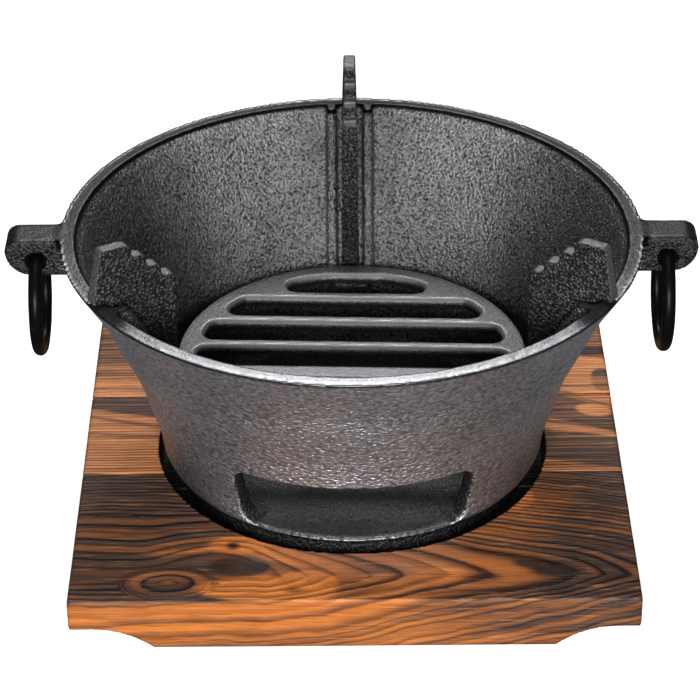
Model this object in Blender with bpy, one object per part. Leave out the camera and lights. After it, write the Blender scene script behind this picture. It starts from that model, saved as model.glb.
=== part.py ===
"""Cast-iron hibachi grill on a wooden base, built as the separate pieces it comes apart into.

Run with: blender --background --python part.py
Units are metres. +Z is up, the air opening faces -Y and the two handles are on the X axis.
The origin is under the middle of the base, on the surface that the grill stands on.
"""
from math import acos, atan2, cos, pi, radians, sin, sqrt

import bmesh
import bpy
from mathutils import Matrix, Vector

# Wooden base
BASE_SIDE = 0.228
BASE_THICK = 0.0234
SEAM_FRONT = -0.0245
SEAM_BACK = 0.0360
GAP = 0.0003
RECESS_RADIUS = 0.0826
RECESS_DEPTH = 0.0080
RECESS_STEPS = 96
GRIP_HEIGHT = 0.0090
GRIP_FLAT = 0.0090
GRIP_ARC = 0.0380
BASE_EDGE = 0.0008
GRIP_STEPS = 10

# Fire bowl: heights are above the top of the base
TOP = BASE_THICK
RIM_HEIGHT = 0.1038
RIM_RADIUS = 0.1200
RIM_INNER = 0.1126
FLOOR_TOP = 0.0046
FLOOR_THICK = 0.0062
FOOT_RADIUS = 0.0750
FOOT_INNER = 0.0660
FOOT_CHAMFER = 0.0020
FOOT_TOP = 0.0008
RIM_EDGE_OUTSIDE = (0.0007, 0.0006)
RIM_EDGE_INSIDE = (0.0010, 0.0012)
FLOOR_RADIUS = 0.0640
WALL_OUTSIDE = (
    (0.0783, 0.0022),
    (0.0797, 0.0042),
    (0.0819, 0.0150),
    (0.0863, 0.0300),
    (0.0892, 0.0400),
    (0.0926, 0.0500),
    (0.0970, 0.0600),
    (0.1015, 0.0700),
    (0.1060, 0.0800),
    (0.1098, 0.0870),
    (0.1146, 0.0950),
    (0.1188, 0.1018),
)
WALL_INSIDE = (
    (0.1080, 0.0965),
    (0.1018, 0.0850),
    (0.0946, 0.0700),
    (0.0902, 0.0600),
    (0.0859, 0.0500),
    (0.0823, 0.0400),
    (0.0797, 0.0300),
    (0.0757, 0.0170),
    (0.0738, 0.0105),
    (0.0716, 0.0068),
    (0.0685, 0.0051),
)
BOWL_STEPS = 72
CREASE = 28  # edges sharper than this many degrees stay sharp
ROOT_DEPTH = 0.0030  # how far a rib or bracket reaches into the wall it grows from

# Air opening in the front of the bowl
OPENING_ANGLE = radians(34.2)
OPENING_LOW = 0.0042
OPENING_HIGH = 0.0346
OPENING_CORNER = 0.0075
OPENING_MIDDLE = 0.0800
OPENING_DEPTHS = (0.0665, 0.1000)
OPENING_STATIONS = (0.032, 0.022, 0.011, 0.0, -0.011, -0.022, -0.032)
OPENING_STEPS = 5

# Guides inside the bowl for the three pot supports
SUPPORT_ANGLES = {"rear": radians(90), "left": radians(210), "right": radians(330)}
GUIDE_DEPTH = 0.0062
GUIDE_INNER_SIDE = 0.0058
GUIDE_OUTER_SIDE = 0.0101
GUIDE_EDGE = 0.0012
GUIDE_SHOULDER = 0.3
GUIDE_HEIGHTS = (0.0360, 0.0450, 0.0550, 0.0700, 0.0850, RIM_HEIGHT - 0.00015)
LUG_TOP = 0.0390
LUG_DROP = 0.0110
LUG_FACE = 0.0040
LUG_REACH = 0.0665
LUG_HALF = 0.0078

# Ears that carry the ring handles
EAR_END = 0.1420
EAR_TOP = RIM_HEIGHT - 0.0008
EAR_BOTTOM = RIM_HEIGHT - 0.0172
EAR_HALF = 0.0080
EAR_UPPER_CORNER = 0.0050
EAR_LOWER_CORNER = 0.0108
EAR_UPPER_STEPS = 5
EAR_LOWER_STEPS = 8
EAR_EDGE = 0.0008
EAR_MIDDLE = 0.1245
HOLE_X = 0.1293
HOLE_DROP = 0.0105
HOLE_RADIUS = 0.00425
HOLE_STEPS = 32

# Ring handles
RING_RADIUS = 0.02175
RING_WIRE = 0.00275
RING_DROP = 0.0316
RING_STEPS = 44
WIRE_STEPS = 10
RING_CREASE = 60

# Pot supports: radii from the bowl's axis and heights above the rim
SUPPORT_TOP = 0.0234
SUPPORT_STEP = 0.0059
SUPPORT_NOSES = (0.1010, 0.0947, 0.0884, 0.0822)
SUPPORT_NOSE_ROUND = 0.0032
SUPPORT_NOSE_STEPS = 5
SUPPORT_BACK_TOP = 0.1146
SUPPORT_BACK_BASE = 0.1187
SUPPORT_CORNER = 0.0010
SUPPORT_CORNER_STEPS = 4
SUPPORT_TUCK = 0.0002
SUPPORT_SHIN = ((0.0832, 0.0490), (0.0805, 0.0460), (0.0795, 0.0445))
SUPPORT_BACK_HEIGHTS = (0.0500, 0.0600, 0.0700, 0.0850, 0.0965)
SUPPORT_HALF_TOP = 0.00265
SUPPORT_HALF_RIM = 0.0033
SUPPORT_HALF_TOE = 0.0039
SUPPORT_PLAY = 0.0005

# Charcoal grate
GRATE_RADIUS = 0.0734
GRATE_TOP = 0.0442
GRATE_THICK = 0.0049
GRATE_EDGE = 0.0008
GRATE_STEPS = 96
SLOT_CIRCLE = 0.0652
SLOT_WIDTH = 0.0137
SLOT_MIDDLES = (0.0573, 0.0373, 0.0173, -0.0027, -0.0277, -0.0477)
SLOT_CORNER = 0.0046
SLOT_CHAMFER = 0.0017
SLOT_STEPS = 4
GRATE_TURN = radians(-2.3)  # a loose grate never lies quite square to the air opening
CUT_CLEAR = 0.0010  # how far a cutter stands past the face it cuts


def clear_scene():
    for old in list(bpy.data.objects):
        bpy.data.objects.remove(old, do_unlink=True)


def make_material(name, colour, roughness, metallic):
    material = bpy.data.materials.new(name)
    material.use_nodes = True
    shader = material.node_tree.nodes["Principled BSDF"]
    shader.inputs["Base Color"].default_value = (*colour, 1.0)
    shader.inputs["Roughness"].default_value = roughness
    shader.inputs["Metallic"].default_value = metallic
    material.diffuse_color = (*colour, 1.0)
    return material


def add_object(name, mesh_data, material=None, smooth=None):
    """Makes an object from a bmesh; smooth is the crease angle in degrees, or None for flat."""
    bmesh.ops.recalc_face_normals(mesh_data, faces=mesh_data.faces)
    mesh = bpy.data.meshes.new(name)
    mesh_data.to_mesh(mesh)
    mesh_data.free()
    if smooth is not None:
        mesh.shade_smooth()
        mesh.set_sharp_from_angle(angle=radians(smooth))
    thing = bpy.data.objects.new(name, mesh)
    bpy.context.collection.objects.link(thing)
    if material:
        mesh.materials.append(material)
    return thing


def combine(target, tool, operation):
    """Adds a Boolean modifier, and keeps its cutter hidden."""
    modifier = target.modifiers.new(operation.lower() + "_" + tool.name, "BOOLEAN")
    modifier.operation = operation
    modifier.solver = "EXACT"
    modifier.object = tool
    tool.hide_render = True
    tool.display_type = "WIRE"


def arc(centre, radius, start, end, steps):
    """Points along an arc in a plane, from the angle start to the angle end."""
    return [
        (
            centre[0] + radius * cos(start + (end - start) * k / steps),
            centre[1] + radius * sin(start + (end - start) * k / steps),
        )
        for k in range(steps + 1)
    ]


def loft(loops):
    """A closed solid through loops with the same number of points, capped at both ends."""
    made = bmesh.new()
    rings = [[made.verts.new(point) for point in loop] for loop in loops]
    count = len(loops[0])
    for lower, upper in zip(rings, rings[1:]):
        for k in range(count):
            after = (k + 1) % count
            made.faces.new((lower[k], lower[after], upper[after], upper[k]))
    made.faces.new(list(reversed(rings[0])))
    made.faces.new(rings[-1])
    return made


def revolve(profile, steps):
    """A solid of revolution about Z from (radius, height) points; the ends lie on the axis."""
    made = bmesh.new()
    low = made.verts.new((0.0, 0.0, profile[0][1]))
    high = made.verts.new((0.0, 0.0, profile[-1][1]))
    rings = []
    for radius, height in profile[1:-1]:
        ring = []
        for k in range(steps):
            angle = 2 * pi * (k + 0.5) / steps
            ring.append(made.verts.new((radius * cos(angle), radius * sin(angle), height)))
        rings.append(ring)
    for k in range(steps):
        after = (k + 1) % steps
        made.faces.new((low, rings[0][after], rings[0][k]))
        made.faces.new((high, rings[-1][k], rings[-1][after]))
        for lower, upper in zip(rings, rings[1:]):
            made.faces.new((lower[k], lower[after], upper[after], upper[k]))
    return made


def cylinder(radius, low, high, steps):
    return revolve([(0, low), (radius, low), (radius, high), (0, high)], steps)


def radial_frame(angle):
    """Turns (radius, offset, height) about the bowl's axis, to an angle from +X."""
    return Matrix.Rotation(angle, 4, "Z")


def radius_at(profile, height):
    """The radius of a wall profile at a height, along straight lines between its points."""
    points = sorted(profile, key=lambda point: point[1])
    for (r_low, z_low), (r_high, z_high) in zip(points, points[1:]):
        if z_low <= height <= z_high:
            share = (height - z_low) / (z_high - z_low)
            return r_low + (r_high - r_low) * share
    return points[-1][0] if height > points[-1][1] else points[0][0]


def inner_radius(height):
    return radius_at(WALL_INSIDE + ((RIM_INNER, RIM_HEIGHT),), height)


def outer_radius(height):
    return radius_at(WALL_OUTSIDE + ((RIM_RADIUS, RIM_HEIGHT),), height)


# ---------------------------------------------------------------- wooden base


def plank_outline():
    """The base's front outline: a slab with a finger grip cut under each end."""
    half = BASE_SIDE / 2
    flat_end = half - GRIP_FLAT
    swing = acos(1 - GRIP_HEIGHT / GRIP_ARC)
    centre = GRIP_HEIGHT - GRIP_ARC
    right = [(half - BASE_EDGE, BASE_THICK), (half, BASE_THICK - BASE_EDGE), (half, GRIP_HEIGHT)]
    grip = arc((flat_end, centre), GRIP_ARC, pi / 2, pi / 2 + swing, GRIP_STEPS)
    side = right + grip
    return side + [(-x, z) for x, z in reversed(side)]


def make_plank(name, front, back, material, recess):
    outline = plank_outline()
    made = loft([[(x, y, z) for x, z in outline] for y in (front, back)])
    plank = add_object(name, made, material)
    combine(plank, recess, "DIFFERENCE")
    return plank


def make_base(material):
    depth = BASE_THICK - RECESS_DEPTH
    made = cylinder(RECESS_RADIUS, depth, BASE_THICK + CUT_CLEAR, RECESS_STEPS)
    recess = add_object("cutter_recess", made)
    half = BASE_SIDE / 2
    make_plank("front_plank", -half, SEAM_FRONT - GAP / 2, material, recess)
    make_plank("middle_plank", SEAM_FRONT + GAP / 2, SEAM_BACK - GAP / 2, material, recess)
    make_plank("rear_plank", SEAM_BACK + GAP / 2, half, material, recess)


# ------------------------------------------------------------------ fire bowl


def bowl_profile():
    """Radius and height of the bowl's section, from the middle of its underside round to its floor."""
    foot = GAP - RECESS_DEPTH
    under = FLOOR_TOP - FLOOR_THICK
    section = [(0, under), (FOOT_INNER - FOOT_CHAMFER, under), (FOOT_INNER, under - FOOT_CHAMFER)]
    section += [(FOOT_INNER, foot), (FOOT_RADIUS, foot), (FOOT_RADIUS, FOOT_TOP)]
    section += list(WALL_OUTSIDE)
    across, down = RIM_EDGE_OUTSIDE
    section += [(RIM_RADIUS, RIM_HEIGHT - down), (RIM_RADIUS - across, RIM_HEIGHT)]
    across, down = RIM_EDGE_INSIDE
    section += [(RIM_INNER + across, RIM_HEIGHT), (RIM_INNER, RIM_HEIGHT - down)]
    section += list(WALL_INSIDE)
    section += [(FLOOR_RADIUS, FLOOR_TOP), (0, FLOOR_TOP)]
    return [(radius, TOP + height) for radius, height in section]


def guide_loops(side):
    """One guide rib in (radius, offset, height): it follows the wall inside the bowl."""
    low = side * GUIDE_INNER_SIDE
    high = side * GUIDE_OUTER_SIDE
    shoulder = (high - low) * GUIDE_SHOULDER
    loops = []
    for height in GUIDE_HEIGHTS:
        wall = inner_radius(height)
        face = wall - GUIDE_DEPTH
        root = wall + ROOT_DEPTH
        section = [(root, low), (face + GUIDE_EDGE, low), (face, low + shoulder)]
        section += [(face, high - shoulder), (face + GUIDE_EDGE, high), (root, high)]
        loops.append([(radius, offset, TOP + height) for radius, offset in section])
    return loops


def lug_loops():
    """The bracket under a support, which also carries the grate's edge."""
    wall = inner_radius(LUG_TOP) + ROOT_DEPTH
    low_wall = inner_radius(LUG_TOP - LUG_DROP) + ROOT_DEPTH
    outline = [(wall, LUG_TOP), (LUG_REACH, LUG_TOP), (LUG_REACH, LUG_TOP - LUG_FACE)]
    outline.append((low_wall, LUG_TOP - LUG_DROP))
    return [[(r, side * LUG_HALF, TOP + z) for r, z in outline] for side in (-1, 1)]


def ear_outline(side):
    """The ear's front outline, rooted in the wall: flat on top and well rounded below."""
    upper = (EAR_END - EAR_UPPER_CORNER, EAR_TOP - EAR_UPPER_CORNER)
    lower = (EAR_END - EAR_LOWER_CORNER, EAR_BOTTOM + EAR_LOWER_CORNER)
    root_top = (inner_radius(EAR_TOP) + outer_radius(EAR_TOP)) / 2
    root_low = (inner_radius(EAR_BOTTOM) + outer_radius(EAR_BOTTOM)) / 2
    outline = [(root_top, EAR_TOP), (root_low, EAR_BOTTOM)]
    outline += arc(lower, EAR_LOWER_CORNER, -pi / 2, 0, EAR_LOWER_STEPS)
    outline += arc(upper, EAR_UPPER_CORNER, 0, pi / 2, EAR_UPPER_STEPS)
    return [(side * x, TOP + z) for x, z in outline]


def ear_loops(side):
    """The ear's outline at four depths, drawn in a little at its front and back faces."""
    flat = ear_outline(side)
    middle = Vector((side * EAR_MIDDLE, TOP + RIM_HEIGHT - HOLE_DROP))
    shrunk = []
    for x, z in flat:
        away = Vector((x, z)) - middle
        nearer = middle + away - away.normalized() * EAR_EDGE
        shrunk.append((nearer.x, nearer.y))
    inner_face = EAR_HALF - EAR_EDGE
    stations = ((shrunk, -EAR_HALF), (flat, -inner_face), (flat, inner_face), (shrunk, EAR_HALF))
    return [[(x, y, z) for x, z in outline] for outline, y in stations]


def opening_cutter():
    """A rounded window, cut along lines from the bowl's axis, so its sides point at the middle."""
    inner = OPENING_ANGLE * OPENING_MIDDLE - OPENING_CORNER
    low = OPENING_LOW + OPENING_CORNER
    high = OPENING_HIGH - OPENING_CORNER
    outline = arc((inner, high), OPENING_CORNER, 0, pi / 2, OPENING_STEPS)
    outline += [(x, OPENING_HIGH) for x in OPENING_STATIONS]
    outline += arc((-inner, high), OPENING_CORNER, pi / 2, pi, OPENING_STEPS)
    outline += arc((-inner, low), OPENING_CORNER, pi, 3 * pi / 2, OPENING_STEPS)
    outline += [(x, OPENING_LOW) for x in reversed(OPENING_STATIONS)]
    outline += arc((inner, low), OPENING_CORNER, -pi / 2, 0, OPENING_STEPS)
    loops = []
    for radius in OPENING_DEPTHS:
        ring = []
        for along, height in outline:
            angle = along / OPENING_MIDDLE
            ring.append((radius * sin(angle), -radius * cos(angle), TOP + height))
        loops.append(ring)
    return add_object("cutter_opening", loft(loops))


def hole_cutter(side):
    made = cylinder(HOLE_RADIUS, -EAR_HALF - CUT_CLEAR, EAR_HALF + CUT_CLEAR, HOLE_STEPS)
    height = TOP + RIM_HEIGHT - HOLE_DROP
    place = Matrix.Translation((side * HOLE_X, 0, height)) @ Matrix.Rotation(pi / 2, 4, "X")
    bmesh.ops.transform(made, matrix=place, verts=made.verts)
    return add_object("cutter_hole_" + ("right" if side > 0 else "left"), made)


def make_bowl(material):
    bowl = add_object("fire_bowl", revolve(bowl_profile(), BOWL_STEPS), material, smooth=CREASE)
    for name, angle in SUPPORT_ANGLES.items():
        pieces = {"guide_a": guide_loops(-1), "guide_b": guide_loops(1), "lug": lug_loops()}
        for piece, loops in pieces.items():
            made = loft(loops)
            bmesh.ops.transform(made, matrix=radial_frame(angle), verts=made.verts)
            combine(bowl, add_object("join_" + piece + "_" + name, made), "UNION")
    for side in (-1, 1):
        ear = add_object("join_ear_" + ("right" if side > 0 else "left"), loft(ear_loops(side)))
        combine(ear, hole_cutter(side), "DIFFERENCE")
        combine(bowl, ear, "UNION")
    combine(bowl, opening_cutter(), "DIFFERENCE")
    return bowl


# --------------------------------------------------------------- pot supports


def support_outline():
    """A support's side outline as (radius, height) points, heights above the base."""
    seat = RIM_HEIGHT + GAP
    top = RIM_HEIGHT + SUPPORT_TOP
    back = (SUPPORT_BACK_TOP - SUPPORT_CORNER, top - SUPPORT_CORNER)
    outline = [(SUPPORT_BACK_BASE, seat)] + arc(back, SUPPORT_CORNER, 0, pi / 2, SUPPORT_CORNER_STEPS)
    for index, nose in enumerate(SUPPORT_NOSES):
        tread = top - index * SUPPORT_STEP
        corner = (nose + SUPPORT_NOSE_ROUND, tread - SUPPORT_NOSE_ROUND)
        outline += arc(corner, SUPPORT_NOSE_ROUND, pi / 2, pi, SUPPORT_NOSE_STEPS)
        if nose != SUPPORT_NOSES[-1]:
            outline.append((nose + SUPPORT_TUCK, tread - SUPPORT_STEP))
    foot = LUG_TOP + GAP
    outline += list(SUPPORT_SHIN)
    outline += [(SUPPORT_SHIN[-1][0], foot), (inner_radius(foot) - SUPPORT_PLAY, foot)]
    outline += [(inner_radius(height) - SUPPORT_PLAY, height) for height in SUPPORT_BACK_HEIGHTS]
    rim = RIM_INNER - SUPPORT_PLAY
    outline += [(rim, RIM_HEIGHT - RIM_EDGE_INSIDE[0]), (rim, seat)]
    return outline


def support_half(height):
    """Half a support's thickness at a height: it is cast with a taper, thicker lower down."""
    if height > RIM_HEIGHT:
        share = (height - RIM_HEIGHT) / SUPPORT_TOP
        return SUPPORT_HALF_RIM + (SUPPORT_HALF_TOP - SUPPORT_HALF_RIM) * share
    share = (RIM_HEIGHT - height) / (RIM_HEIGHT - LUG_TOP)
    return SUPPORT_HALF_RIM + (SUPPORT_HALF_TOE - SUPPORT_HALF_RIM) * share


def make_support(place, angle, material):
    outline = support_outline()
    loops = [[(r, side * support_half(z), TOP + z) for r, z in outline] for side in (-1, 1)]
    made = loft(loops)
    bmesh.ops.transform(made, matrix=radial_frame(angle), verts=made.verts)
    return add_object("pot_support_" + place, made, material)


# ------------------------------------------------------------- charcoal grate


def slot_outline(middle, grow):
    """A slot across the grate, as wide as its circle allows, with rounded corners, grown evenly."""
    low = middle - SLOT_WIDTH / 2 + SLOT_CORNER
    high = middle + SLOT_WIDTH / 2 - SLOT_CORNER
    reach = SLOT_CIRCLE - SLOT_CORNER
    front = (sqrt(reach**2 - low**2), low)
    back = (sqrt(reach**2 - high**2), high)
    front_turn = atan2(front[1], front[0])
    back_turn = atan2(back[1], back[0])
    corner = SLOT_CORNER + grow
    side = arc(front, corner, -pi / 2, front_turn, SLOT_STEPS)
    side += arc((0, 0), SLOT_CIRCLE + grow, front_turn, back_turn, SLOT_STEPS)[1:-1]
    side += arc(back, corner, back_turn, pi / 2, SLOT_STEPS)
    return side + [(-x, y) for x, y in reversed(side)]


def slot_cutter(index, middle):
    """Cuts a slot right through, with its upper edge chamfered."""
    top = TOP + GRATE_TOP
    stations = (
        (0, top - GRATE_THICK - CUT_CLEAR),
        (0, top - SLOT_CHAMFER),
        (SLOT_CHAMFER + CUT_CLEAR, top + CUT_CLEAR),
    )
    loops = [[(x, y, z) for x, y in slot_outline(middle, grow)] for grow, z in stations]
    made = loft(loops)
    bmesh.ops.transform(made, matrix=radial_frame(GRATE_TURN), verts=made.verts)
    return add_object("cutter_slot_" + str(index + 1), made)


def make_grate(material):
    top = TOP + GRATE_TOP
    low = top - GRATE_THICK
    inner = GRATE_RADIUS - GRATE_EDGE
    profile = [(0, low), (inner, low), (GRATE_RADIUS, low + GRATE_EDGE)]
    profile += [(GRATE_RADIUS, top - GRATE_EDGE), (inner, top), (0, top)]
    grate = add_object("charcoal_grate", revolve(profile, GRATE_STEPS), material, smooth=CREASE)
    for index, middle in enumerate(SLOT_MIDDLES):
        combine(grate, slot_cutter(index, middle), "DIFFERENCE")
    return grate


# --------------------------------------------------------------- ring handles


def make_ring(place, side, material):
    """A ring hanging in its ear's hole. Its parent empty is on the hole's axis."""
    pivot = bpy.data.objects.new("pivot_ring_" + place, None)
    pivot.location = (side * HOLE_X, 0, TOP + RIM_HEIGHT - HOLE_DROP)
    bpy.context.collection.objects.link(pivot)
    centre = HOLE_DROP - RING_DROP
    made = bmesh.new()
    loops = []
    for k in range(RING_STEPS):
        turn = 2 * pi * k / RING_STEPS
        wire = arc((0, RING_RADIUS), RING_WIRE, 0, 2 * pi, WIRE_STEPS)[:-1]
        spots = [(across, reach * sin(turn), reach * cos(turn) + centre) for across, reach in wire]
        loops.append([made.verts.new(spot) for spot in spots])
    for k in range(RING_STEPS):
        here = loops[k]
        there = loops[(k + 1) % RING_STEPS]
        for point in range(WIRE_STEPS):
            beside = (point + 1) % WIRE_STEPS
            made.faces.new((here[point], here[beside], there[beside], there[point]))
    ring = add_object("ring_handle_" + place, made, material, smooth=RING_CREASE)
    ring.parent = pivot
    return ring


def main():
    clear_scene()
    wood = make_material("scorched_pine", (0.42, 0.20, 0.10), 0.55, 0.0)
    iron = make_material("cast_iron", (0.13, 0.125, 0.13), 0.50, 0.85)
    plate = make_material("grate_iron", (0.26, 0.26, 0.27), 0.42, 0.85)
    black = make_material("blackened_steel", (0.01, 0.01, 0.012), 0.22, 0.6)
    make_base(wood)
    make_bowl(iron)
    for place, angle in SUPPORT_ANGLES.items():
        make_support(place, angle, iron)
    make_grate(plate)
    make_ring("left", -1, black)
    make_ring("right", 1, black)


main()
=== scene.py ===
"""Looks of the cast-iron hibachi grill.

Fine castings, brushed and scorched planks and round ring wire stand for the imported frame's nodes.
All lengths are metres in the frame's own axes: +Z up, the air opening faces -Y, the handles lie on X.
"""

from math import cos, pi, radians

import bmesh
import bpy
import numpy as np
from mathutils import Matrix, Vector, noise


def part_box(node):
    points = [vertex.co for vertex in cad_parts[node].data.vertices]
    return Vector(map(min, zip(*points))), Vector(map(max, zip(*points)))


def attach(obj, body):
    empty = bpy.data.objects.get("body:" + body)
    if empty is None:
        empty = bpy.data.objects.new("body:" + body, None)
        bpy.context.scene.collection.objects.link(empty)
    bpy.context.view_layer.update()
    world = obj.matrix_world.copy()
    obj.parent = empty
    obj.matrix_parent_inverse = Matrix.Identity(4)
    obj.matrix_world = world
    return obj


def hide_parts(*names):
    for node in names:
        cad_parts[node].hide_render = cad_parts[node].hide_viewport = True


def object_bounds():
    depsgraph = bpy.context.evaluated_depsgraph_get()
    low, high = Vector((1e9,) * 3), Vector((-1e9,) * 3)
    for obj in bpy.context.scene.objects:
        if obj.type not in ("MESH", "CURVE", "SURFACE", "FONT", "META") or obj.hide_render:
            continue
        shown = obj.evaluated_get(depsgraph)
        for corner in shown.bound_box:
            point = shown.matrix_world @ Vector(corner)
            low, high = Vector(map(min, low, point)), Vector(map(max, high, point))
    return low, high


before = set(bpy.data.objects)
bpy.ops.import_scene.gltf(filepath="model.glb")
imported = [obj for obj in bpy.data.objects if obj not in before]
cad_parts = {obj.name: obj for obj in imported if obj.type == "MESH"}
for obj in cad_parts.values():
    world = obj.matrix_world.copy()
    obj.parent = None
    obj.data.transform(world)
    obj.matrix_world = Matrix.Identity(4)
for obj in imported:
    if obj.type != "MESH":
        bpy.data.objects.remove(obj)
CAD_LOW, CAD_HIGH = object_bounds()

# Heights that the frame gives
BOARD_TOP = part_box("front_plank")[1].z
RIM_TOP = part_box("fire_bowl")[1].z
GRATE_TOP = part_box("charcoal_grate")[1].z

# The bowl's wall as (radius, height above the board's top), with the CAD's corners
WALL_OUTSIDE = (
    (0.0783, 0.0022),
    (0.0797, 0.0042),
    (0.0819, 0.0150),
    (0.0863, 0.0300),
    (0.0892, 0.0400),
    (0.0926, 0.0500),
    (0.0970, 0.0600),
    (0.1015, 0.0700),
    (0.1060, 0.0800),
    (0.1098, 0.0870),
    (0.1146, 0.0950),
    (0.1188, 0.1018),
    (0.1200, 0.1038),
)
WALL_INSIDE = (
    (0.0685, 0.0051),
    (0.0716, 0.0068),
    (0.0738, 0.0105),
    (0.0757, 0.0170),
    (0.0797, 0.0300),
    (0.0823, 0.0400),
    (0.0859, 0.0500),
    (0.0902, 0.0600),
    (0.0946, 0.0700),
    (0.1018, 0.0850),
    (0.1080, 0.0965),
    (0.1126, 0.1038),
)
WALL_FACETS = 72
WALL_SNAP = (0.00030, 0.00060)  # on the wall within the first distance, off it past the second
WALL_END = 0.0008
HALF_WALL = 0.0030
RECESS_EDGE = 0.0832
RECESS_DROP = 0.0003  # wood this far below the board's top and within the recess gets black painted shade

# The bowl's other radii, and heights above the board's top
RIM_INNER_EDGE = 0.1126
RIM_FALL = 0.105  # how steeply the rim's top slopes down towards its outer edge
RIM_ZONE = 0.1022  # the smooth brim starts here
RIM_SKIN = 0.0006  # the rim's top face lies within this of its highest point
BRIM_TOP = 0.0900  # level faces above this are the rim and the ears
EAR_ROOT = (0.1203, 0.1215)
EAR_HALF = 0.0090
EAR_GROOVE = (0.1206, 0.0006)  # radius and width of the painted shade line where an ear meets the rim
FLOOR_REACH = 0.0795
FLOOR_UNDER = 0.0030
OPENING_SILL = 0.0052
FOOT_TOP = 0.0036
FOOT_REACH = 0.0700
# Painted shade inside the bowl below the grate fades out between these heights
BELOW_GRATE_HEIGHTS = (0.0360, 0.0430)
JAMB_TOP = 0.0370
JAMB_REACH = 0.0680
SILL_LINE = (0.0041, 0.0006)  # height and width of the painted highlight line along the sill
SILL_REACH = 0.0780
OPENING_HALF_TURN = 0.62
# Where painted shade falls on the bowl: its inner sides, low outer flanks, rim lip, round the rear
# support and round the ears
FLANK = (0.55, 0.95)  # share of the radius along X at which the bowl's sides start and are complete
LOW_FLANK = (0.55, 0.85)
SKIRT_HEIGHTS = (0.0450, 0.0040)
LIP_REACH = (0.1175, 0.1185)
LIP_FOOT = 0.0985
HALO_WIDTH = 0.0260
HALO_HEIGHTS = (0.0450, 0.0900)
ROOT_REACH = (0.0220, 0.0140)  # painted shade on the wall round an ear, measured along Y; it runs down the whole wall

# How much darker or lighter each place of the bowl is painted than its skin, as a share of 1; the
# darkening is painted shade and the lightening is painted light
FLOOR_DARK = 0.76
EAR_DARK = 0.80
EAR_TOP_LIGHT = 0.14
BELOW_GRATE_DARK = 0.70
EDGE_DARK = 0.50
REAR_EDGE_DARK = 0.70
BRIM_DARK = 0.42
SILL_LIGHT = 0.45
SIDES_DARK = 0.52
HALO_DARK = 0.50
SKIRT_DARK = 0.50
ROOT_DARK = 0.88
LIP_DARK = 0.80
GROOVE_DARK = 0.80
JAMB_SHADE = 0.22
FOOT_SHADE = 0.16
LEAST_SHADE = 0.02
FLOOR_PLAIN = 0.55

# Bands of the grate along Y, and the reach of its slots; they place the painted highlight on the
# grate's front band and bars
GRATE_FRONT_BAR = -0.008
GRATE_REAR_BAR = 0.030
GRATE_BARS = 0.060
GRATE_SKIN = 0.0022  # the slots' sides start this far below the grate's top, and get painted shade below it
SUPPORT_HEAD = 0.0120  # the head of a support, worn and lighter by a painted highlight, starts this far below the rim
# A painted highlight lightens the outward nose of a support's head down to this far below the rim
SUPPORT_NOSE = 0.0040

# Camera, floor and even fill
CAMERA_PLACE = (-0.000855, -1.01016, 0.6957)
CAMERA_PITCH = radians(31.83)
CAMERA_ROLL = radians(-0.20)
CAMERA_ORBIT = radians(-0.37)
CAMERA_LENS = 145.5
FLOOR_HALF = 6
FLOOR_DROP = 0.0003
FILL = 0.075

# The fineness of the meshes, and how uneven they are
JOIN = 1e-6
SOFTEN = 0.5
FRONT_VOXEL = 0.0009
PLANK_VOXEL = 0.0010
BOWL_VOXEL = 0.0010
SUPPORT_VOXEL = 0.0006
GRATE_VOXEL = 0.0007
RING_SEGMENTS = (160, 24)
TOP_SLACK = 0.0010
RIDGE_DEPTH = 0.00018
BOARD_WAVE = 0.00008
CAST_WAVE = 0.00006
BOWL_WAVE = 0.00012
BOWL_RIPPLE = 0.00005
SUPPORT_GRAIN = 0.00005
GRATE_GRAIN = 0.00003


# ------------------------------------------------------------- mesh helpers


def copy_node(node, name):
    """A new object with the CAD node's mesh, its split corners joined."""
    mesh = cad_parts[node].data.copy()
    mesh.name = name
    mesh.materials.clear()
    made = bmesh.new()
    made.from_mesh(mesh)
    bmesh.ops.remove_doubles(made, verts=made.verts, dist=JOIN)
    made.to_mesh(mesh)
    made.free()
    thing = bpy.data.objects.new(name, mesh)
    bpy.context.collection.objects.link(thing)
    return thing


def settle(thing):
    """Applies the object's modifiers to its mesh."""
    graph = bpy.context.evaluated_depsgraph_get()
    graph.update()
    mesh = bpy.data.meshes.new_from_object(thing.evaluated_get(graph))
    thing.modifiers.clear()
    old = thing.data
    thing.data = mesh
    mesh.name = thing.name
    bpy.data.meshes.remove(old)


def recast(thing, voxel, rounds):
    """Turns a mesh into an even, fine one with softened edges, as a casting has."""
    modifier = thing.modifiers.new("recast", "REMESH")
    modifier.mode = "VOXEL"
    modifier.voxel_size = voxel
    modifier.adaptivity = 0.0
    softer = thing.modifiers.new("soften", "SMOOTH")
    softer.factor = SOFTEN
    softer.iterations = rounds
    settle(thing)
    thing.data.shade_smooth()
    for old in [a for a in thing.data.attributes if a.name == "sharp_edge"]:
        thing.data.attributes.remove(old)


def points_of(thing):
    spots = np.empty(len(thing.data.vertices) * 3)
    thing.data.vertices.foreach_get("co", spots)
    return spots.reshape(-1, 3)


def normals_of(thing):
    ways = np.empty(len(thing.data.vertices) * 3, np.float32)
    thing.data.vertex_normals.foreach_get("vector", ways)
    return ways.reshape(-1, 3)


def put_points(thing, spots):
    thing.data.vertices.foreach_set("co", np.ascontiguousarray(spots, np.float32).ravel())
    thing.data.update()


def put_value(thing, name, values):
    made = thing.data.attributes.new(name, "FLOAT", "POINT")
    made.data.foreach_set("value", np.ascontiguousarray(values, np.float32))


def smoothstep(low, high, value):
    share = np.clip((value - low) / (high - low), 0, 1)
    return share * share * (3 - 2 * share)


def noise_at(spots, scale, seed=0.0):
    """Smooth noise from -1 to 1 at each point; scale is (x, y, z) or one frequency per metre."""
    factors = np.array(scale, float) * np.ones(3)
    moved = spots * factors + seed
    return np.array([noise.noise(Vector(spot)) for spot in moved])


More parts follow.
